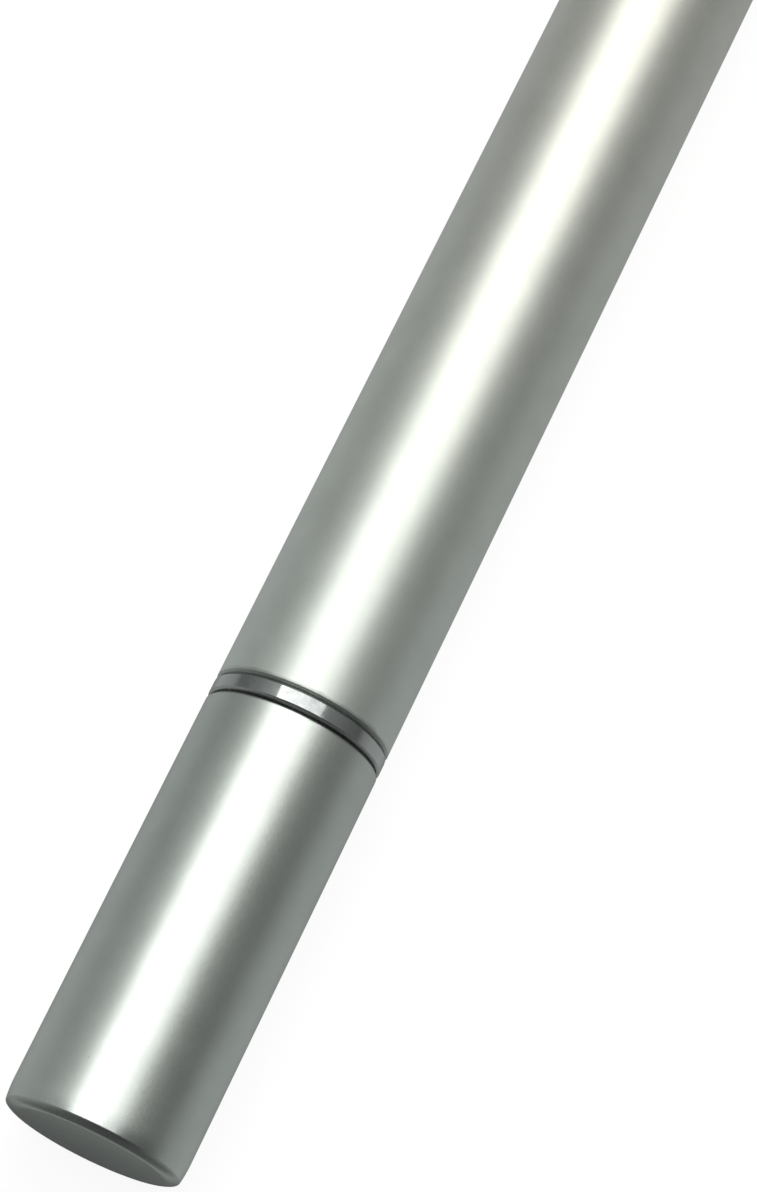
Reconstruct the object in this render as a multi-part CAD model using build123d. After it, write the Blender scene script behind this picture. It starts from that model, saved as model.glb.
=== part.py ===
from build123d import *
import os
from math import asin, cos, degrees, radians, tan

# A capped stylus pen that lies along X: the disc nib and its cap towards +X, the soft tip towards -X.
# Sizes are millimetres and angles are degrees. Stations along the pen are measured from the cap's seat,
# which is the front face of the trim ring.

# Barrel
body_diameter = 9.0
barrel_length = 100.0
barrel_wall = 0.7
edge_break = 0.1  # on hidden edges
rim_break = 0.1  # on the outer rims, where two pieces meet flush
bore_lead = 0.25

# Clearances
fit_gap = 0.02  # radial, between pressed or glued pieces
thread_gap = 0.05  # radial, between screwed pieces
slide_gap = 0.1  # radial, between the cap's ribs and the nose
seat_gap = 0.15  # along the pen, the seam between the cap's mouth and the trim ring
magnet_gap = 0.05  # along the pen, between the cap's magnet and the trim ring, where the cap seats
ball_gap = 0.03  # radial, between the stem's ball and its socket
overrun = 1.0  # how far a cut runs past the face that it opens
match_gap = 0.001  # how closely an edge has to match the place that it is picked by

# Trim ring, a plated steel ring with a hub that centres it in the barrel
ring_width = 0.95
ring_hub_length = 0.8
seam_width = 0.1
seam_depth = 0.25

# Bushes, one glued into each end of the barrel
bush_length = 8.0
bush_wall = 1.05
groove_width = 2.4
groove_depth = 0.3
spigot_engagement = 7.0

# Nose
neck_length = 4.2
neck_lead = 0.35
nose_length = 9.6
nose_straight = 0.8
nose_rounding = 2.0
nose_tip_diameter = 3.4

# Nib stem
shank_diameter = 2.0
shank_length = 5.0
nib_bore_spare = 0.5
collar_diameter = 3.0
collar_length = 1.2
collar_flats = 2.5
rod_diameter = 1.5
stem_neck_diameter = 0.8
ball_diameter = 2.0
ball_reach = 4.4

# Disc and its snap socket
tilt_limit = 35.0
tilt_margin = 4.0
socket_wall = 0.55
socket_floor = 0.32
socket_back = 0.75
socket_flange_step = 0.35
socket_flange_thickness = 0.3
slot_width = 0.35
slot_depth = 0.95
slot_count = 4
disc_inset = 0.3
disc_thickness = 0.6
disc_rim_thickness = 0.35
disc_land = 0.2
film_inset = 0.25
film_thickness = 0.06

# Cap
cap_length = 21.6
cap_wall = 0.45
cap_end_wall = 1.0
cap_corner = 0.25
shoulder_length = 0.95
shoulder_drop = 0.12
shoulder_rounding = 1.5
rim_rounding = 0.45
magnet_length = 1.8
magnet_wall = 0.58
magnet_relief = 0.05
liner_length = 9.0
rib_height = 0.25
rib_width = 0.7
rib_count = 6
pad_inset = 0.35
pad_thickness = 1.0
pad_corner = 0.2

# Tail ferrule
ferrule_length = 7.0
ferrule_straight = 1.0
ferrule_rounding = 2.0
ferrule_end_diameter = 7.0

# Soft tip
tip_diameter = 6.2
tip_straight = 1.5
tip_standoff = 0.1
tip_corner = 0.3
cover_thickness = 0.35
cup_wall = 0.3
cup_floor = 0.6
cup_depth = 2.2
cup_rim = 0.6
stud_diameter = 2.8
stud_length = 4.0
stud_bore_spare = 0.5

# Radii and stations that follow from the sizes above
body_radius = body_diameter / 2
bore_radius = body_radius - barrel_wall
bush_radius = bore_radius - fit_gap
bush_hole_radius = bush_radius - bush_wall
spigot_radius = bush_hole_radius - thread_gap
barrel_front = -ring_width
barrel_tail = barrel_front - barrel_length
bush_front = barrel_front - ring_hub_length

cap_mouth = seat_gap
cap_end = cap_mouth + cap_length
cap_floor = cap_end - cap_end_wall
cap_bore_radius = body_radius - cap_wall
magnet_radius = cap_bore_radius - fit_gap
magnet_hole_radius = magnet_radius - magnet_wall
magnet_back = magnet_gap + magnet_length
rib_radius = magnet_hole_radius - magnet_relief
neck_radius = rib_radius - slide_gap

shank_radius = shank_diameter / 2
ball_radius = ball_diameter / 2
ball_station = nose_length + ball_reach
socket_bore_radius = ball_radius + ball_gap
socket_radius = socket_bore_radius + socket_wall
disc_radius = neck_radius - disc_inset
disc_front = ball_station + socket_bore_radius + socket_floor
disc_back = disc_front - disc_thickness

ferrule_tail = barrel_tail - ferrule_length
tip_radius = tip_diameter / 2
tip_end = ferrule_tail - tip_straight - tip_radius
cup_radius = tip_radius - cup_rim + cup_wall
cup_hole_radius = cup_radius - cup_wall
cup_inside = ferrule_tail + cup_depth
cup_front = cup_inside + cup_floor
stud_radius = stud_diameter / 2


def bar(start, end, radius):
    """A round bar about the pen's axis between two stations."""
    rod = Cylinder(radius, end - start, align=(Align.CENTER, Align.CENTER, Align.MIN))
    return Pos(start, 0, 0) * Rot(0, 90, 0) * rod


def turned(*lines):
    """A solid turned about the pen's axis from the lines of a closed (station, radius) outline."""
    return revolve(make_face([edge for line in lines for edge in line.edges()]), Axis.X)


def rims(piece, station, radius):
    """The circular edges of a piece at one station and radius."""
    circles = piece.edges().filter_by(GeomType.CIRCLE)
    at_station = circles.filter_by(lambda edge: abs(edge.arc_center.X - station) < match_gap)
    return at_station.filter_by(lambda edge: abs(edge.radius - radius) < match_gap)


def barrel():
    """Plain tube with a broken edge at each end and a lead into its bore."""
    tube = bar(barrel_tail, barrel_front, body_radius)
    tube -= bar(barrel_tail - overrun, barrel_front + overrun, bore_radius)
    ends = (barrel_tail, barrel_front)
    tube = chamfer([rim for end in ends for rim in rims(tube, end, body_radius)], rim_break)
    return chamfer([rim for end in ends for rim in rims(tube, end, bore_radius)], bore_lead)


def trim_ring():
    """Ring flush with the barrel: a step behind it leaves a fine seam, and a hub centres it."""
    ring_back = barrel_front + seam_width
    ring = bar(ring_back, 0, body_radius)
    ring = chamfer(rims(ring, ring_back, body_radius) + rims(ring, 0, body_radius), rim_break)
    ring += bar(barrel_front, ring_back, body_radius - seam_depth)
    ring += bar(bush_front, barrel_front, bush_radius)
    hub_edge = rims(ring, bush_front, bush_radius)
    return chamfer(hub_edge, edge_break) - bar(bush_front - overrun, overrun, bush_hole_radius)


def bush(front):
    """Bush with a threaded hole, left plain here, and a groove round it that holds the glue."""
    back = front - bush_length
    body = bar(back, front, bush_radius)
    body = chamfer(rims(body, back, bush_radius) + rims(body, front, bush_radius), bore_lead)
    start = (back + front - groove_width) / 2
    end = (back + front + groove_width) / 2
    body -= bar(start, end, bush_radius + overrun) - bar(start, end, bush_radius - groove_depth)
    return body - bar(back - overrun, front + overrun, bush_hole_radius)


def front_bush():
    """Bush behind the trim ring's hub, which takes the nose."""
    return bush(bush_front)


def tail_bush():
    """Bush at the far end of the barrel, which takes the ferrule."""
    return bush(barrel_tail + bush_length)


def nose_section():
    """Spigot for the bush, neck that the cap slides over, and a tapered front bored for the nib."""
    spigot_end = bush_front - spigot_engagement
    lead_end = (neck_length, neck_radius - neck_lead)
    taper_start = (neck_length + nose_straight, neck_radius - neck_lead)
    taper_end = (nose_length, nose_tip_diameter / 2)
    back = Polyline(
        (nose_length, 0),
        (spigot_end, 0),
        (spigot_end, spigot_radius - edge_break),
        (spigot_end + edge_break, spigot_radius),
        (0, spigot_radius),
        (0, neck_radius),
        (neck_length - neck_lead, neck_radius),
        lead_end,
    )
    taper = FilletPolyline(lead_end, taper_start, taper_end, radius=nose_rounding)
    front = Line(taper_end, (nose_length, 0))
    bore_end = nose_length - shank_length - nib_bore_spare
    return turned(back, taper, front) - bar(bore_end, nose_length + overrun, shank_radius + thread_gap)


def nib_stem():
    """Shank for the nose, collar with two flats, and a thinning rod that ends in a ball."""
    rod_start = nose_length + collar_length
    neck_radius_at_ball = stem_neck_diameter / 2
    neck_end = ball_station - ball_radius * cos(asin(neck_radius_at_ball / ball_radius))
    stem = turned(
        Polyline(
            (ball_station, 0),
            (nose_length - shank_length, 0),
            (nose_length - shank_length, shank_radius - edge_break),
            (nose_length - shank_length + edge_break, shank_radius),
            (nose_length, shank_radius),
            (nose_length, collar_diameter / 2 - edge_break),
            (nose_length + edge_break, collar_diameter / 2),
            (rod_start - edge_break, collar_diameter / 2),
            (rod_start, collar_diameter / 2 - edge_break),
            (rod_start, rod_diameter / 2),
            (neck_end, neck_radius_at_ball),
            (ball_station, neck_radius_at_ball),
            close=True,
        )
    )
    flat_depth = collar_diameter / 2
    flat_width = collar_diameter + overrun
    flat = Box(collar_length, flat_width, flat_depth, align=(Align.MIN, Align.CENTER, Align.MIN))
    stem -= Pos(nose_length, 0, collar_flats / 2) * flat
    stem -= Pos(nose_length, 0, -collar_flats / 2 - flat_depth) * flat
    return stem + Pos(ball_station, 0, 0) * Sphere(ball_radius)


def disc_socket():
    """Cup that snaps over the ball: slotted into fingers, with a mouth that lets the stem swing."""
    back = ball_station - socket_back
    flange_back = disc_back - socket_flange_thickness
    cup = bar(back, disc_front, socket_radius)
    cup = chamfer(rims(cup, back, socket_radius), edge_break)
    cup += bar(flange_back, disc_back, socket_radius + socket_flange_step)
    cup -= Pos(ball_station, 0, 0) * Sphere(socket_bore_radius)
    swing = degrees(asin(stem_neck_diameter / 2 / socket_bore_radius))
    mouth_angle = radians(tilt_limit + swing + tilt_margin)
    mouth_back = back - overrun
    mouth_radius = (ball_station - mouth_back) * tan(mouth_angle)
    cup -= turned(
        Polyline((ball_station, 0), (mouth_back, mouth_radius), (mouth_back, 0), close=True)
    )
    slot_span = 2 * (socket_radius + overrun)
    middle = (Align.MIN, Align.CENTER, Align.CENTER)
    slot = Box(slot_depth + overrun, slot_span, slot_width, align=middle)
    for index in range(slot_count // 2):
        cup -= Pos(mouth_back, 0, 0) * Rot(360 / slot_count * index, 0, 0) * slot
    return cup


def disc():
    """Clear disc pressed round the socket, thickest at the socket and thin at its rim."""
    hub_radius = socket_radius + fit_gap
    land_radius = socket_radius + socket_flange_step + disc_land
    rim_back = disc_front - disc_rim_thickness
    body = turned(
        Polyline(
            (disc_front, hub_radius),
            (disc_front, disc_radius),
            (rim_back, disc_radius),
            (disc_back, land_radius),
            (disc_back, hub_radius),
            close=True,
        )
    )
    return chamfer(rims(body, disc_front, disc_radius) + rims(body, rim_back, disc_radius), edge_break)


def disc_film():
    """Conductive film over the disc's face and the end of the socket."""
    return bar(disc_front, disc_front + film_thickness, disc_radius - film_inset)


def cap_shell():
    """Closed cap with a short shoulder, a rounded rim and a flat end."""
    shell = turned(
        Polyline((cap_end, 0), (cap_mouth, 0), (cap_mouth, body_radius)),
        FilletPolyline(
            (cap_mouth, body_radius),
            (cap_end - shoulder_length, body_radius),
            (cap_end, body_radius - shoulder_drop),
            (cap_end, 0),
            radius=[shoulder_rounding, rim_rounding],
        ),
    )
    shell = chamfer(rims(shell, cap_mouth, body_radius), rim_break)
    bore = bar(cap_mouth - overrun, cap_floor, cap_bore_radius)
    return shell - chamfer(rims(bore, cap_floor, cap_bore_radius), cap_corner)


def cap_magnet():
    """Ring magnet in the cap's mouth, a little proud of it, so that it seats on the trim ring."""
    ring = bar(magnet_gap, magnet_back, magnet_radius)
    ring -= bar(magnet_gap - overrun, magnet_back + overrun, magnet_hole_radius)
    return chamfer(rims(ring, magnet_gap, magnet_hole_radius), edge_break)


def cap_liner():
    """Moulded sleeve behind the magnet, with ribs along its bore that guide the nose."""
    end = magnet_back + liner_length
    sleeve = bar(magnet_back, end, magnet_radius)
    bore = bar(magnet_back - overrun, end + overrun, rib_radius + rib_height)
    rib = Box(liner_length, rib_width, magnet_radius, align=(Align.MIN, Align.CENTER, Align.MIN))
    for index in range(rib_count):
        bore -= Rot(360 / rib_count * index, 0, 0) * Pos(magnet_back, 0, 0) * rib
    bore += bar(magnet_back - overrun, end + overrun, rib_radius)
    return sleeve - bore


def cap_pad():
    """Foam pad on the cap's floor."""
    face = cap_floor - pad_thickness
    radius = cap_bore_radius - pad_inset
    pad = bar(face, cap_floor, radius)
    return chamfer(rims(pad, face, radius), pad_corner)


def tail_ferrule():
    """Tapered end piece: spigot for the bush, recess for the soft tip's cup and a hole for its stud."""
    spigot_end = barrel_tail + spigot_engagement
    rim_end = (barrel_tail - rim_break, body_radius)
    taper_start = (barrel_tail - ferrule_straight, body_radius)
    taper_end = (ferrule_tail, ferrule_end_diameter / 2)
    front = Polyline(
        (ferrule_tail, 0),
        (spigot_end, 0),
        (spigot_end, spigot_radius - edge_break),
        (spigot_end - edge_break, spigot_radius),
        (barrel_tail, spigot_radius),
        (barrel_tail, body_radius - rim_break),
        rim_end,
    )
    taper = FilletPolyline(rim_end, taper_start, taper_end, radius=ferrule_rounding)
    end = Line(taper_end, (ferrule_tail, 0))
    stud_end = cup_front + stud_length + stud_bore_spare
    body = turned(front, taper, end)
    body -= bar(ferrule_tail - overrun, cup_front, cup_radius + fit_gap)
    return body - bar(ferrule_tail - overrun, stud_end, stud_radius + thread_gap)


def tip_base():
    """Cup that grips the soft tip's foot, with a stud that screws into the ferrule."""
    cup = bar(ferrule_tail, cup_front, cup_radius) + bar(cup_front, cup_front + stud_length, stud_radius)
    cup = chamfer(rims(cup, cup_front + stud_length, stud_radius), edge_break)
    return cup - bar(ferrule_tail - overrun, cup_inside, cup_hole_radius)


def tip_form(inset):
    """The soft tip's outer form, a foot in the cup and a dome outside it, drawn in all round."""
    radius = tip_radius - inset
    foot_radius = cup_hole_radius - fit_gap - inset
    skirt = ferrule_tail - tip_standoff - inset
    dome_start = ferrule_tail - tip_straight
    dome = turned(
        Polyline((dome_start - radius, 0), (skirt, 0), (skirt, radius), (dome_start, radius)),
        TangentArc((dome_start, radius), (dome_start - radius, 0), tangent=(-1, 0)),
    )
    dome = chamfer(rims(dome, skirt, radius), tip_corner)
    return dome + bar(skirt, cup_inside, foot_radius)


def tip_core():
    """Silicone core of the soft tip."""
    return tip_form(cover_thickness + fit_gap)


def fibre_tip():
    """Knitted cover drawn over the core, with its hem in the cup."""
    return tip_form(0) - tip_form(cover_thickness)


pieces = (
    barrel, trim_ring, front_bush, nose_section, nib_stem, disc_socket, disc, disc_film,
    cap_shell, cap_magnet, cap_liner, cap_pad, tail_bush, tail_ferrule, tip_base, tip_core, fibre_tip,
)
# The pen lies on the plane z = 0 with the middle of its length at the origin.
place = Pos(-(cap_end + tip_end) / 2, 0, body_radius)

os.makedirs("parts", exist_ok=True)
for make in pieces:
    export_step(place * make(), f"parts/{make.__name__}.step")
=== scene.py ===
import math

import bpy
import numpy as np
from mathutils import Matrix, Vector


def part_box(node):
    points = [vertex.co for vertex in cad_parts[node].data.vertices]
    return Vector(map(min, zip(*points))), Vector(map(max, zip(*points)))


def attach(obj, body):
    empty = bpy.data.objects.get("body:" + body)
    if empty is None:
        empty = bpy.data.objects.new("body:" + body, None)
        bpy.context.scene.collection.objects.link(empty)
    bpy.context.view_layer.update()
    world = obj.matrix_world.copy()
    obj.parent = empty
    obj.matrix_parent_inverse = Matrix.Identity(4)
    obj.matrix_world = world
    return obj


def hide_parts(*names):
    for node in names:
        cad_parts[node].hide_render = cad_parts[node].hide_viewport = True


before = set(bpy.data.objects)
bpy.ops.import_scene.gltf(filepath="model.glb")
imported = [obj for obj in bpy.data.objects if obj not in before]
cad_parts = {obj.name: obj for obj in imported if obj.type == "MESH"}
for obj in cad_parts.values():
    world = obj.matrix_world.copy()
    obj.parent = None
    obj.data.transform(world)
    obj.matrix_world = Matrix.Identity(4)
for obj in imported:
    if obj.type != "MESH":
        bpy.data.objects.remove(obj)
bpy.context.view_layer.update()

# A capped stylus pen on a white table. Lengths are metres unless a name says otherwise.
MM = 0.001
AXIS_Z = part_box("barrel")[1].z / 2


# Shader graphs

def add(tree, kind, inputs=None, **settings):
    """A shader node with its settings, and its inputs set to values or linked to other nodes' outputs."""
    node = tree.nodes.new("ShaderNode" + kind)
    for name, value in settings.items():
        setattr(node, name, value)
    for key, value in (inputs or {}).items():
        if isinstance(value, bpy.types.NodeSocket):
            tree.links.new(value, node.inputs[key])
        else:
            node.inputs[key].default_value = value
    return node


def finish_with(name, **values):
    """A material, its node tree and its shader, on which the values that are the same all over are set."""
    made = bpy.data.materials.new(name)
    made.use_nodes = True
    shader = made.node_tree.nodes["Principled BSDF"]
    for key, value in values.items():
        shader.inputs[key.replace("_", " ")].default_value = value
    return made, made.node_tree, shader


def link(tree, shader, **outputs):
    """Links nodes' outputs to the shader's inputs."""
    for key, output in outputs.items():
        tree.links.new(output, shader.inputs[key.replace("_", " ")])


def calc(tree, operation, *values):
    """The result of one operation on numbers or other nodes' outputs."""
    return add(tree, "Math", dict(enumerate(values)), operation=operation).outputs[0]


def parts_of(tree, vector):
    """A vector's X, Y and Z, by name."""
    return add(tree, "SeparateXYZ", {0: vector}).outputs


def in_mm(tree):
    """The place on the piece in millimetres, with the origin on the pen's axis."""
    place = add(tree, "TexCoord").outputs["Object"]
    inputs = {"Vector": place, "Location": (0, 0, -AXIS_Z / MM), "Scale": (1 / MM,) * 3}
    return add(tree, "Mapping", inputs).outputs[0]


def turned_place(tree):
    """Station along the pen and distance from its axis, in millimetres: what is the same all round."""
    parts = parts_of(tree, in_mm(tree))
    flat = add(tree, "CombineXYZ", {"Y": parts["Y"], "Z": parts["Z"]}).outputs[0]
    radius = add(tree, "VectorMath", {0: flat}, operation="LENGTH").outputs["Value"]
    return add(tree, "CombineXYZ", {"X": parts["X"], "Y": radius}).outputs[0]


def noise(tree, place, scale, detail=2.0, roughness=0.5):
    """Smooth noise, mostly between 0.3 and 0.7. The scale is about how many of its features fit a unit."""
    inputs = {"Vector": place, "Scale": scale, "Detail": detail, "Roughness": roughness}
    return add(tree, "TexNoise", inputs).outputs[0]


def spread(tree, value, low, high, start=0.3, end=0.7):
    """A value between start and end, moved to the range from low to high."""
    inputs = {"Value": value, "From Min": start, "From Max": end, "To Min": low, "To Max": high}
    return add(tree, "MapRange", inputs).outputs[0]


def mixed(tree, share, first, second):
    """A blend of two colours, each a tuple or another node's output."""
    inputs = {0: share, 6: (*first, 1) if isinstance(first, tuple) else first}
    inputs[7] = (*second, 1) if isinstance(second, tuple) else second
    return add(tree, "Mix", inputs, data_type="RGBA").outputs[2]


def bumped(tree, shader, height, depth_mm):
    """Shades the surface as if it rose and fell with the height, by the depth at most."""
    link(tree, shader, Normal=add(tree, "Bump", {"Height": height, "Distance": depth_mm * MM}).outputs[0])


def painted_seam_shade(tree, place, seam_mm, reach_mm):
    """A share of painted shade that is 1 at a seam's station and fades to 0 a short way from it,
    unevenly. Most of the painted shade lies on the pen's upper side."""
    patches_per_mm, patchiness, full_reach = 1.1, 0.25, 0.3
    side_share, side_mm, top_mm = 0.3, 1.5, 3.5
    parts = parts_of(tree, place)
    off = calc(tree, "ABSOLUTE", calc(tree, "SUBTRACT", parts["X"], seam_mm))
    uneven = spread(tree, noise(tree, place, patches_per_mm), 1 - patchiness, 1 + patchiness)
    near = spread(tree, calc(tree, "MULTIPLY", off, uneven), 1.0, 0.0, full_reach * reach_mm, reach_mm)
    # The painted shade is full on the upper side and fainter at the sides and below
    upper = spread(tree, parts["Z"], side_share, 1.0, side_mm, top_mm)
    return calc(tree, "MULTIPLY", near, upper)


def satin_metal(name, front, far, metal, rough, seam_mm, seam_reach_mm, end_mm=None):
    """Blasted and anodised metal: a fine even grain, faint clouds, a few tiny pits, and an oxide that
    scatters a little. The colour drifts along the pen, from a front colour to a far one, as a painted warmer
    light, and painted shade darkens the edge at the seam. A closed end is rubbed smoother from its rim
    inwards."""
    drift_mm = 5.0, 40.0
    clouds_per_mm, cloud_shade = 0.55, 0.06
    pits_per_mm, pit_shade, pit_edge = 0.25, 0.12, (0.01, 0.02)
    grain_per_mm, grain_mm, uneven = 9.0, 0.0028, 0.04
    seam_shade_share, seam_shade_colour = 0.5, (0.05, 0.055, 0.05)
    rubbed_rough, rubbed_grain, rubbed_mm = 0.23, 0.1, (0.9, 0.3)
    made, tree, shader = finish_with(name, Metallic=metal)
    place = in_mm(tree)
    station = parts_of(tree, place)["X"]
    # The drift from the front colour to the far one is a painted warmer light towards the far end
    tint = mixed(tree, spread(tree, station, 1.0, 0.0, *drift_mm), front, far)
    cloud = spread(tree, noise(tree, place, clouds_per_mm, detail=3.0), 0.0, cloud_shade)
    grain = noise(tree, place, grain_per_mm, detail=3.0, roughness=0.6)
    pits = add(tree, "TexVoronoi", {"Vector": place, "Scale": pits_per_mm}).outputs["Distance"]
    pit = spread(tree, pits, pit_shade, 0.0, *pit_edge)
    plain = mixed(tree, calc(tree, "ADD", cloud, pit), tint, (0.0, 0.0, 0.0))
    # Painted shade along the edge at the seam
    seam_shade = calc(tree, "MULTIPLY", painted_seam_shade(tree, place, seam_mm, seam_reach_mm), seam_shade_share)
    height = grain
    gloss = spread(tree, grain, rough - uneven, rough + uneven)
    if end_mm is not None:
        left = spread(tree, station, 1.0, rubbed_grain, *(end_mm - off for off in rubbed_mm))
        more = spread(tree, grain, rough - uneven - rubbed_rough, rough + uneven - rubbed_rough)
        gloss = calc(tree, "MULTIPLY_ADD", more, left, rubbed_rough)
        height = calc(tree, "MULTIPLY", grain, left)
    link(tree, shader, Base_Color=mixed(tree, seam_shade, plain, seam_shade_colour), Roughness=gloss)
    bumped(tree, shader, height, grain_mm)
    return made


def polished_metal(name, pale, dark, rough, seams=()):
    """Bright plating with the faintest cloud and polishing haze, and painted shade in the outer ends of any
    seams. A seam has a station in millimetres, the share of the painted shade that covers it, and how pale
    that shade is."""
    clouds_per_mm, haze_per_mm, haze_share = 0.9, 3.0, 0.4
    seam_shade_reach_mm, seam_shade_from_mm, seam_shade_full_mm = 0.10, 3.8, 4.0
    seam_shade_green, dull = 1.05, 0.9
    waves_per_mm, wave_mm = 1.4, 0.0015
    made, tree, shader = finish_with(name, Metallic=1.0)
    place = in_mm(tree)
    colour = mixed(tree, noise(tree, place, clouds_per_mm), dark, pale)
    unshaded_metal = 1.0
    # Each seam's painted shade darkens the colour and takes away some of the metal
    for seam_mm, share, shade in seams:
        radius = parts_of(tree, turned_place(tree))["Y"]
        outer = spread(tree, radius, 0.0, share, seam_shade_from_mm, seam_shade_full_mm)
        seam_shade = calc(tree, "MULTIPLY", painted_seam_shade(tree, place, seam_mm, seam_shade_reach_mm), outer)
        colour = mixed(tree, seam_shade, colour, (shade, shade * seam_shade_green, shade))
        unshaded_metal = calc(tree, "MULTIPLY_ADD", seam_shade, -dull, unshaded_metal)
    if seams:
        link(tree, shader, Metallic=unshaded_metal)
    haze = noise(tree, place, haze_per_mm, detail=4.0)
    gloss = spread(tree, haze, rough * (1 - haze_share), rough * (1 + haze_share))
    link(tree, shader, Base_Color=colour, Roughness=gloss)
    bumped(tree, shader, noise(tree, place, waves_per_mm), wave_mm)
    return made


def lathe_metal(name, pale, dark, rough, line_mm, depth_mm):
    """Turned metal: fine rings left by the tool, with a little cloud in the colour."""
    clouds_per_mm, uneven, dark_to_pale = 1.1, 0.06, (0.12, 0.42)
    made, tree, shader = finish_with(name, Metallic=1.0)
    rings = noise(tree, turned_place(tree), 1 / line_mm, roughness=0.6)
    cloud = noise(tree, in_mm(tree), clouds_per_mm, detail=3.0)
    share = spread(tree, calc(tree, "MULTIPLY", rings, cloud), 0, 1, *dark_to_pale)
    gloss = spread(tree, rings, rough - uneven, rough + uneven)
    link(tree, shader, Base_Color=mixed(tree, share, dark, pale), Roughness=gloss)
    bumped(tree, shader, rings, depth_mm)
    return made


def moulded(name, pale, dark, rough, grain_mm, depth_mm):
    """Moulded plastic, silicone or rubber with a fine eroded grain."""
    clouds_per_mm, uneven = 1.5, 0.08
    made, tree, shader = finish_with(name)
    place = in_mm(tree)
    grain = noise(tree, place, 1 / grain_mm, detail=3.0, roughness=0.6)
    colour = mixed(tree, spread(tree, grain, 0, 1), dark, pale)
    gloss = spread(tree, noise(tree, place, clouds_per_mm), rough - uneven, rough + uneven)
    link(tree, shader, Base_Color=colour, Roughness=gloss)
    bumped(tree, shader, grain, depth_mm)
    return made


def clear_sheet(name, tint, haze, rough, ior):
    """Clear plastic with a light haze and faint rubbing marks."""
    haze_per_mm, marks_per_mm, mark_share = 0.8, 14.0, 0.5
    waves_per_mm, wave_mm = 2.5, 0.0008
    made, tree, shader = finish_with(name, Transmission_Weight=1.0, IOR=ior)
    place = in_mm(tree)
    colour = mixed(tree, spread(tree, noise(tree, place, haze_per_mm), 0, 1), tint, haze)
    marks = noise(tree, turned_place(tree), marks_per_mm)
    gloss = spread(tree, marks, rough * (1 - mark_share), rough * (1 + mark_share))
    link(tree, shader, Base_Color=colour, Roughness=gloss)
    bumped(tree, shader, noise(tree, place, waves_per_mm), wave_mm)
    return made


def yarn_finish():
    """Silver-coated yarn, with painted shade in the gaps between the stitches."""
    fibres_per_mm, fibre_mm, fibre_rough = 22.0, 0.006, (0.36, 0.6)
    gap_to_yarn = 0.1, 0.75
    dull, bright, gap = (0.40, 0.40, 0.41), (0.62, 0.62, 0.63), (0.035, 0.035, 0.038)
    made, tree, shader = finish_with("silver_knit", Metallic=0.55, Sheen_Weight=0.25, Sheen_Roughness=0.4)
    height = add(tree, "Attribute", attribute_name="yarn").outputs["Fac"]
    fibres = noise(tree, in_mm(tree), fibres_per_mm, detail=3.0, roughness=0.7)
    lit = mixed(tree, spread(tree, fibres, 0, 1), dull, bright)
    # The gaps between the stitches are painted dark: painted shade
    colour = mixed(tree, spread(tree, height, 0, 1, *gap_to_yarn), gap, lit)
    link(tree, shader, Base_Color=colour, Roughness=spread(tree, fibres, *fibre_rough))
    bumped(tree, shader, fibres, fibre_mm)
    return made


def foam_finish():
    """Dark open-cell foam, with painted shade in its pores."""
    cells_per_mm, cell_mm, hollow_to_wall = 5.0, 0.05, (0.1, 0.6)
    clouds_per_mm, cloud_rough = 3.0, (0.8, 0.98)
    hollow, wall = (0.012, 0.012, 0.013), (0.1, 0.1, 0.105)
    made, tree, shader = finish_with("dark_foam")
    place = in_mm(tree)
    cells = add(tree, "TexVoronoi", {"Vector": place, "Scale": cells_per_mm}).outputs["Distance"]
    # The pores are painted darker than the cell walls: painted shade
    colour = mixed(tree, spread(tree, cells, 0, 1, *hollow_to_wall), hollow, wall)
    gloss = spread(tree, noise(tree, place, clouds_per_mm), *cloud_rough)
    link(tree, shader, Base_Color=colour, Roughness=gloss)
    bumped(tree, shader, cells, cell_mm)
    return made


BARREL_SEAM, RING_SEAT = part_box("barrel")[1].x / MM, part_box("trim_ring")[1].x / MM
CAP_SEAM, CAP_END = (corner.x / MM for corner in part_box("cap_shell"))
# The barrel's warmer far grey is a painted warmer light towards its far end
COOL_GREY, WARM_LIT_GREY = (0.768, 0.83, 0.782), (0.81, 0.83, 0.77)
PLATING = {"pale": (0.82, 0.86, 0.84), "dark": (0.79, 0.83, 0.81)}
ALUMINIUM = satin_metal("satin_anodised_aluminium", front=COOL_GREY, far=WARM_LIT_GREY, metal=0.805, rough=0.44,
                        seam_mm=BARREL_SEAM, seam_reach_mm=0.27)
CAP_ALUMINIUM = satin_metal("satin_anodised_cap", front=COOL_GREY, far=COOL_GREY, metal=0.92, rough=0.37,
                            seam_mm=CAP_SEAM, seam_reach_mm=0.16, end_mm=CAP_END)
CHROME = polished_metal("polished_plating", rough=0.06, **PLATING)
# The ring's seams get painted shade: in the groove at the barrel and at its seat against the cap
RING = polished_metal("polished_ring", rough=0.11, seams=[(BARREL_SEAM, 0.95, 0.12), (RING_SEAT, 0.7, 0.04)],
                      **PLATING)
SATIN_PLATING = lathe_metal("satin_plating", pale=(0.80, 0.81, 0.82), dark=(0.66, 0.67, 0.68), rough=0.24,
                            line_mm=0.05, depth_mm=0.001)
STAINLESS = lathe_metal("stainless", pale=(0.72, 0.71, 0.70), dark=(0.52, 0.52, 0.52), rough=0.2,
                        line_mm=0.04, depth_mm=0.001)
BRASS = lathe_metal("turned_brass", pale=(0.83, 0.64, 0.32), dark=(0.66, 0.48, 0.2), rough=0.22,
                    line_mm=0.08, depth_mm=0.002)
NICKEL = lathe_metal("black_nickel_magnet", pale=(0.30, 0.30, 0.31), dark=(0.19, 0.19, 0.2), rough=0.28,
                     line_mm=0.06, depth_mm=0.001)
CLEAR = clear_sheet("clear_disc", tint=(0.96, 0.98, 0.98), haze=(0.88, 0.92, 0.93), rough=0.06, ior=1.585)
FILM = clear_sheet("conductive_film", tint=(0.90, 0.90, 0.86), haze=(0.78, 0.79, 0.76), rough=0.12, ior=1.65)
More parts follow.
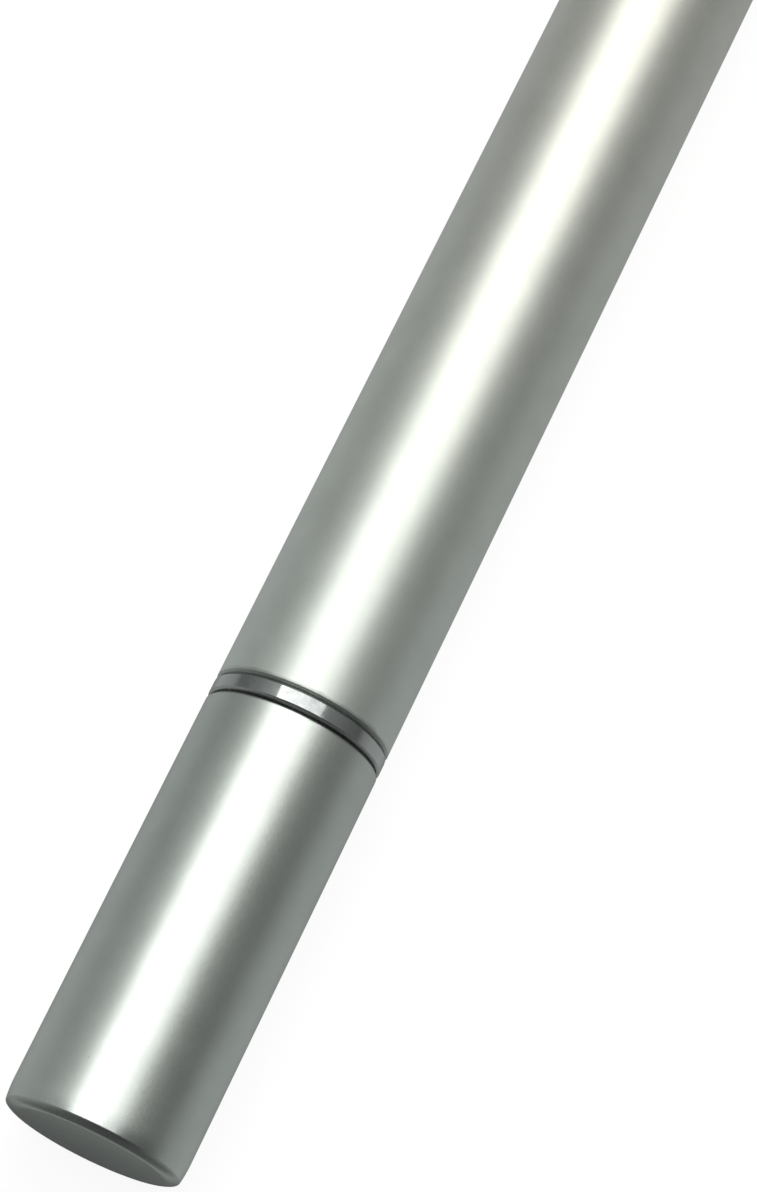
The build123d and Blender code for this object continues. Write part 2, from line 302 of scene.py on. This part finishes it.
BLACK = moulded("black_moulding", pale=(0.035, 0.035, 0.036), dark=(0.018, 0.018, 0.019), rough=0.5,
                grain_mm=0.08, depth_mm=0.004)
SILICONE = moulded("grey_silicone", pale=(0.16, 0.16, 0.165), dark=(0.11, 0.11, 0.115), rough=0.6,
                   grain_mm=0.06, depth_mm=0.003)

FINISHES = {
    "barrel": ALUMINIUM,
    "trim_ring": RING,
    "tail_ferrule": CHROME,
    "nose_section": SATIN_PLATING,
    "nib_stem": STAINLESS,
    "disc_socket": STAINLESS,
    "disc": CLEAR,
    "front_bush": BRASS,
    "tail_bush": BRASS,
    "tip_base": BRASS,
    "cap_magnet": NICKEL,
    "cap_liner": BLACK,
    "tip_core": SILICONE,
}
for name, finish in FINISHES.items():
    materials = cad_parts[name].data.materials
    materials.clear()
    materials.append(finish)


# Soft and thin pieces, and the cap's shell

def revolved(name, stations, radii, sides, relief=None):
    """A closed skin, turned about the pen's axis from (station, radius) points that start and end on it.
    The relief moves each point along the outline's normal."""
    stations, radii = np.asarray(stations, float), np.asarray(radii, float)
    along = np.gradient(stations), np.gradient(radii)
    length = np.hypot(*along)
    normal_x, normal_r = -along[1] / length, along[0] / length
    turn = np.arange(sides) * 2 * math.pi / sides
    x = stations[1:-1, None] + np.zeros(sides)
    r = radii[1:-1, None] + np.zeros(sides)
    if relief is not None:
        x = x + relief * normal_x[1:-1, None]
        r = r + relief * normal_r[1:-1, None]
    body = np.stack([x, r * np.cos(turn), AXIS_Z + r * np.sin(turn)], axis=-1).reshape(-1, 3)
    rings = len(stations) - 2
    ends = [(stations[0], 0, AXIS_Z), (stations[-1], 0, AXIS_Z)]
    at = np.arange(rings * sides).reshape(rings, sides)
    ahead = np.roll(at, -1, axis=1)
    faces = np.stack([at[:-1], ahead[:-1], ahead[1:], at[1:]], axis=-1).reshape(-1, 4).tolist()
    first, last = rings * sides, rings * sides + 1
    faces += [(first, ahead[0, k], at[0, k]) for k in range(sides)]
    faces += [(last, at[-1, k], ahead[-1, k]) for k in range(sides)]
    mesh = bpy.data.meshes.new(name)
    mesh.from_pydata(np.vstack([body, ends]).tolist(), [], faces)
    mesh.validate()
    mesh.shade_smooth()
    made = bpy.data.objects.new(name, mesh)
    bpy.context.scene.collection.objects.link(made)
    return made


def stitch_height(u, v, wale, course):
    """Height, from 0 to 1, of a plain knit: columns of V stitches, each V two slanted lobes."""
    lobe_off, lobe_lean = 0.24 * wale, math.radians(27)
    lobe_width, lobe_length = 0.25 * wale, 0.68 * course
    column = np.floor(u / wale)
    across = u - (column + 0.5) * wale
    height = np.zeros_like(u)
    for side in (-1, 1):
        for row in (-1, 0, 1):
            middle = (np.round(v / course) + row) * course
            dx, dy = across - side * lobe_off, v - middle
            lean = side * lobe_lean
            a = dx * math.cos(lean) - dy * math.sin(lean)
            b = dx * math.sin(lean) + dy * math.cos(lean)
            inside = 1 - (a / lobe_width) ** 2 - (b / lobe_length) ** 2
            height = np.maximum(height, np.sqrt(np.clip(inside, 0, 1)))
    return height


def knitted_tip():
    """The knitted cover: a dome and a short straight side, drawn in under its edge and down into the cup."""
    low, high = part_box("fibre_tip")
    radius = (high.y - low.y) / 2
    step, sides, depth = 0.054 * MM, 360, 0.11 * MM
    wale, course, hidden_height = 0.52 * MM, 0.40 * MM, 0.3
    foot_radius, neck_radius, core_radius = 2.48 * MM, 2.13 * MM, 2.76 * MM
    cup_gap, neck_length, core_start = 0.1 * MM, 0.36 * MM, 0.6 * MM
    corner, hem_fold, hem_step, core_lip = 0.3 * MM, 0.05 * MM, 0.02 * MM, 0.2 * MM
    dome_x = low.x + radius
    skirt_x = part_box("tail_ferrule")[0].x - cup_gap
    neck_x, core_x = skirt_x - neck_length, skirt_x - core_start
    arc = np.arange(0, math.pi / 2, step / radius)
    straight = np.arange(dome_x, skirt_x - corner, step)
    turn = np.linspace(0, math.pi / 2, 8)
    core_arc = np.linspace(math.pi / 2, 0, 10)
    outer = [(dome_x - radius * math.cos(t), radius * math.sin(t)) for t in arc]
    outer += [(x, radius) for x in straight]
    outer += [(skirt_x - corner + corner * math.sin(t), radius - corner + corner * math.cos(t)) for t in turn]
    hem = [(skirt_x, foot_radius + hem_fold), (skirt_x + hem_fold, foot_radius), (high.x, foot_radius)]
    inner = [(high.x, neck_radius), (skirt_x + hem_step, neck_radius), (neck_x, neck_radius)]
    inner += [(neck_x, core_radius - core_lip), (core_x, core_radius)]
    inner += [(dome_x - core_radius * math.cos(t), core_radius * math.sin(t)) for t in core_arc]
    outline = np.array(outer + hem + inner)
    run = np.concatenate([[0], np.cumsum(np.hypot(*np.diff(outline, axis=0).T))])
    dome_run, dome_edge = radius * math.pi / 2, 2 * radius * math.sin(math.pi / 4)
    over_dome = 2 * radius * np.sin(run / radius / 2)
    down_side = dome_edge + (run - dome_run) * math.cos(math.pi / 4)
    flat = np.where(run < dome_run, over_dome, down_side)[1:-1, None]
    phi = np.arange(sides) * 2 * math.pi / sides
    height = stitch_height(flat * np.cos(phi), flat * np.sin(phi), wale, course)
    shows = (np.arange(len(outline))[1:-1] < len(outer))[:, None]
    relief = np.where(shows, (height - 1) * depth, 0)
    made = revolved("knitted_tip", outline[:, 0], outline[:, 1], sides, relief)
    # The mesh's last two points are the outline's ends: the top of the dome and the top of the core
    yarn = np.append(np.where(shows, height, hidden_height).ravel(), [1, 0])
    made.data.attributes.new("yarn", "FLOAT", "POINT").data.foreach_set("value", yarn.astype(np.float32))
    return made


def foam_pad():
    """Die-cut foam disc with a crowned face, drawn-in sides and open pores."""
    low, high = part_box("cap_pad")
    radius = (high.y - low.y) / 2
    sides, pore_depth = 96, 0.03 * MM
    crown, waist = 0.12 * MM, 0.12 * MM
    edge_radius, edge_depth, edge_start = 0.2 * MM, 0.16 * MM, 0.2
    back_gap, side_gap = 0.02 * MM, 0.03 * MM
    flat = radius - edge_radius
    face = [(low.x + crown * (s ** 2), flat * s) for s in np.linspace(0, 1, 24)]
    edge = [(low.x + crown + edge_depth * (1 - math.cos(t)), flat + edge_radius * math.sin(t))
            for t in np.linspace(edge_start, math.pi / 2, 6)]
    side_x = np.linspace(edge[-1][0], high.x - side_gap, 12)[1:]
    middle = np.linspace(0, math.pi, 12)[1:]
    side = [(x, radius - waist * math.sin(t)) for x, t in zip(side_x, middle)]
    back = [(high.x - back_gap, radius * s) for s in (0.98, 0.6, 0)]
    outline = np.array(face + edge + side + back)
    pores = np.random.default_rng(seed=7).random((len(outline) - 2, sides))
    shows = (np.arange(len(outline) - 2) < len(face) + len(edge))[:, None]
    return revolved("foam_pad", outline[:, 0], outline[:, 1], sides, np.where(shows, -pore_depth * pores, 0))


def film_sheet():
    """The film on the disc's face, a hair clear of the disc, so that light passes one and then the other."""
    low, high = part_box("disc_film")
    gap, edge, sides = 0.02 * MM, 0.015 * MM, 128
    radius, back = (high.y - low.y) / 2, low.x + gap
    outline = [(back, 0), (back, radius - edge), (back + edge, radius), (high.x - edge, radius)]
    outline += [(high.x, radius - edge), (high.x, 0)]
    return revolved("film_sheet", *zip(*outline), sides)


def cap_shell():
    """The cap's closed shell. Its rim rolls over more and more gently into a faintly crowned end face."""
    low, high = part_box("cap_shell")
    mouth, end = low.x, high.x
    body = AXIS_Z  # the pen lies on the table, so its axis is one radius up
    wall, end_wall, corner, edge = 0.45 * MM, 1.0 * MM, 0.25 * MM, 0.1 * MM
    bore, floor = body - wall, end - end_wall
    shoulder, drop, shoulder_rounding = 0.95 * MM, 0.12 * MM, 6.0 * MM
    crown, crown_tilt = 0.047 * MM, math.radians(1.5)
    gentle_tilt, tight_tilt, gentle_bend, tight_bend = 20, 35, 1.55 * MM, 0.18 * MM
    sides, sharp_angle = 256, math.radians(30)
    slope = math.atan2(drop, shoulder)
    inside = [(floor, 0), (floor, bore - corner), (floor - corner, bore), (mouth, bore)]
    side = [(mouth, body - edge), (mouth + edge, body)]
    bend_x = end - shoulder - shoulder_rounding * math.tan(slope / 2)
    side += [(bend_x + shoulder_rounding * math.sin(t), body - shoulder_rounding * (1 - math.cos(t)))
             for t in np.linspace(0, slope, 13)]
    tilt = np.linspace(math.pi / 2 - slope, crown_tilt, 61)
    bend = np.interp(np.degrees(tilt), [gentle_tilt, tight_tilt], [gentle_bend, tight_bend])
    stretch = bend * (tilt[0] - tilt[1])
    rim_x = end - crown - np.append(np.cumsum((stretch * np.sin(tilt))[::-1])[::-1][1:], 0)
    run = np.append(0, np.cumsum((stretch * np.cos(tilt))[1:]))
    rim_r = body - drop + (end - rim_x[0]) * math.tan(slope) - run
    rim = list(zip(rim_x, rim_r))
    face = [(end - crown * share ** 2, rim_r[-1] * share) for share in np.linspace(1, 0, 13)[1:]]
    made = revolved("cap_shell_skin", *zip(*(inside + side + rim + face)), sides)
    made.data.set_sharp_from_angle(angle=sharp_angle)
    return made


tip = knitted_tip()
tip.data.materials.append(yarn_finish())
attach(tip, "pen")
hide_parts("fibre_tip")

film = film_sheet()
film.data.materials.append(FILM)
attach(film, "disc_nib")
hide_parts("disc_film")

shell = cap_shell()
shell.data.materials.append(CAP_ALUMINIUM)
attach(shell, "cap")
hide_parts("cap_shell")

pad = foam_pad()
pad.data.materials.append(foam_finish())
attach(pad, "cap")
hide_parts("cap_pad")


# Table, light and camera

def table_top():
    """A wide white table that glows, so that it stays white and the pen's shadow on it stays faint."""
    half, glow, grain_per_mm, matt = 3.0, 0.9, 0.3, (0.85, 0.95)
    dark, pale = (0.19, 0.19, 0.19), (0.21, 0.21, 0.21)
    mesh = bpy.data.meshes.new("table_top")
    corners = [(-half, -half, 0), (half, -half, 0), (half, half, 0), (-half, half, 0)]
    mesh.from_pydata(corners, [], [(0, 1, 2, 3)])
    made = bpy.data.objects.new("table_top", mesh)
    bpy.context.scene.collection.objects.link(made)
    finish, tree, shader = finish_with("white_table", Specular_IOR_Level=0.0, Emission_Color=(1, 1, 1, 1),
                                       Emission_Strength=glow)
    grain = noise(tree, in_mm(tree), grain_per_mm, detail=3.0)
    link(tree, shader, Base_Color=mixed(tree, grain, dark, pale), Roughness=spread(tree, grain, *matt))
    mesh.materials.append(finish)
    made.visible_glossy = False


def softbox(name, height, x_range, angles, radiance, colour):
    """A panel over the pen that spans two angles about the pen's axis, in degrees from straight up."""
    low, high = (height * math.tan(math.radians(angle)) for angle in angles)
    light = bpy.data.lights.new(name, "AREA")
    light.shape = "RECTANGLE"
    light.size, light.size_y = x_range[1] - x_range[0], high - low
    light.energy = radiance * light.size * light.size_y * math.pi
    light.color = colour
    made = bpy.data.objects.new(name, light)
    made.location = ((x_range[0] + x_range[1]) / 2, (low + high) / 2, AXIS_Z + height)
    bpy.context.scene.collection.objects.link(made)


def surround(walls, tint, seen_colour):
    """A room whose brightness changes with the angle about the pen's axis, and along it: each wall has the
    X part of the directions that see it, and its brightness by angle in degrees from straight up. Seen
    straight or through clear plastic, the room has one pale colour."""
    world = bpy.data.worlds.new("studio")
    world.use_nodes = True
    tree = world.node_tree
    way = parts_of(tree, add(tree, "TexCoord").outputs["Generated"])
    angle = calc(tree, "ARCTAN2", way["Y"], way["Z"])
    share = spread(tree, angle, 0.0, 1.0, -math.pi, math.pi)
    room, last_x = None, None
    for x, steps in walls:
        ramp = add(tree, "ValToRGB", {0: share})
        stops = ramp.color_ramp.elements
        while len(stops) < len(steps):
            stops.new(0.5)
        for stop, (degrees, level) in zip(stops, steps):
            stop.position = degrees / 360 + 0.5
            stop.color = (*(level * channel for channel in tint), 1)
        wall = ramp.outputs[0]
        room = mixed(tree, spread(tree, way["X"], 0.0, 1.0, last_x, x), room, wall) if room else wall
        last_x = x
    path = add(tree, "LightPath").outputs
    seen = calc(tree, "MAXIMUM", path["Is Camera Ray"], path["Is Transmission Ray"])
    tree.links.new(mixed(tree, seen, room, seen_colour), tree.nodes["Background"].inputs["Color"])
    bpy.context.scene.world = world


def photograph_camera():
    """The camera, by where it sees the seam behind the ring: pixel, depth, and the pen's slope and lean."""
    width, height = 757, 1192
    lens_px, depth = 3486.6, 166.15 * MM
    seam_px = (300.58, 720.30)
    slope, lean = math.radians(19.46), math.radians(26.215)
    half_seam = 0.05 * MM
    seam = Vector((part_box("barrel")[1].x + half_seam, 0, AXIS_Z))
    seen = Vector(((seam_px[0] - width / 2) / lens_px, -(seam_px[1] - height / 2) / lens_px, -1)) * depth
    along = Vector((-math.cos(slope) * math.sin(lean), -math.cos(slope) * math.cos(lean), math.sin(slope)))
    upward = (-seen + along * seen.dot(along)).normalized()
    turn = Matrix((along, upward.cross(along), upward))
    data = bpy.data.cameras.new("photograph")
    data.sensor_width, data.sensor_fit = 36, "AUTO"
    data.lens = lens_px * data.sensor_width / height
    data.clip_start, data.clip_end = 0.005, 20
    made = bpy.data.objects.new("photograph", data)
    made.matrix_world = Matrix.Translation(seam - turn @ seen) @ turn.to_4x4()
    bpy.context.scene.collection.objects.link(made)
    bpy.context.scene.camera = made


table_top()
WHITE, WARM = (1.0, 0.985, 1.0), (1.0, 0.96, 0.90)
PANEL_HEIGHT = 0.5
for place, x_range, (left, right), key, fill, colour in (
    ("near", (-0.08, 0.14), (-39, 20), 2.35, 1.25, WHITE),
    ("middle", (-0.15, -0.08), (-36, 19.5), 0.7, 0.5, WHITE),
    ("far", (-0.46, -0.15), (-39, 21), 2.7, 2.4, WARM),
):
    softbox(f"{place}_key_panel", PANEL_HEIGHT, x_range, (left, 0), key, colour)
    softbox(f"{place}_fill_panel", PANEL_HEIGHT, x_range, (0, right), fill, colour)

# Brightness of the room's walls, from behind the pen's tail to ahead of its cap
FAR = [(-180, 0.24), (-165, 0.24), (-140, 0.32), (-108, 0.23), (-98, 0.12), (-86, 0.12), (-63, 0.18),
       (-38, 0.32), (20, 0.25), (30, 0.21), (60, 0.155), (76, 0.145), (84, 0.24), (100, 0.31), (140, 0.34),
       (165, 0.24), (180, 0.24)]
BEHIND = [(-180, 0.19), (-165, 0.21), (-140, 0.32), (-108, 0.23), (-98, 0.11), (-86, 0.11), (-63, 0.17),
          (-38, 0.31), (20, 0.22), (30, 0.16), (60, 0.095), (76, 0.08), (84, 0.17), (100, 0.25), (140, 0.31),
          (165, 0.21), (180, 0.19)]
BESIDE = [(-180, 0.06), (-165, 0.18), (-140, 0.36), (-108, 0.34), (-98, 0.26), (-86, 0.28), (-63, 0.38),
          (-38, 0.50), (20, 0.21), (30, 0.12), (60, 0.07), (76, 0.10), (84, 0.24), (100, 0.35), (140, 0.36),
          (165, 0.18), (180, 0.06)]
ASIDE = [(-180, 0.0), (-165, 0.16), (-150, 0.22), (-105, 0.22), (-80, 0.23), (-60, 0.25), (-38, 0.28),
         (20, 0.10), (30, 0.07), (60, 0.05), (76, 0.08), (88, 0.18), (105, 0.22), (138, 0.27), (165, 0.18),
         (180, 0.0)]
AHEAD = [(-180, 0.46), (-165, 0.32), (-150, 0.22), (-105, 0.22), (-80, 0.19), (-60, 0.13), (-35, 0.07),
         (20, 0.05), (45, 0.03), (62, 0.06), (90, 0.16), (110, 0.20), (140, 0.22), (165, 0.30), (180, 0.46)]
DIP = [(-180, 0.01), (-165, 0.10), (-150, 0.20), (-105, 0.21), (-80, 0.18), (-60, 0.12), (-35, 0.07),
       (20, 0.04), (45, 0.02), (62, 0.05), (90, 0.14), (110, 0.18), (140, 0.19), (165, 0.10), (180, 0.01)]
FRONT = [(-180, 0.02), (-165, 0.05), (-145, 0.17), (-85, 0.18), (-55, 0.09), (-20, 0.03), (45, 0.01),
         (65, 0.03), (90, 0.10), (125, 0.14), (140, 0.12), (160, 0.03), (180, 0.02)]
NEAR_AXIS = [(-180, 0.02), (-100, 0.05), (-60, 0.02), (60, 0.01), (180, 0.02)]
WALLS = [(-0.42, FAR), (-0.29, BEHIND), (-0.16, BESIDE), (0.2, ASIDE), (0.36, AHEAD), (0.45, DIP),
         (0.7, FRONT), (0.93, NEAR_AXIS)]
surround(WALLS, tint=(0.97, 1.0, 0.985), seen_colour=(0.93, 0.93, 0.93))
photograph_camera()
bpy.context.scene.view_settings.view_transform = "Standard"
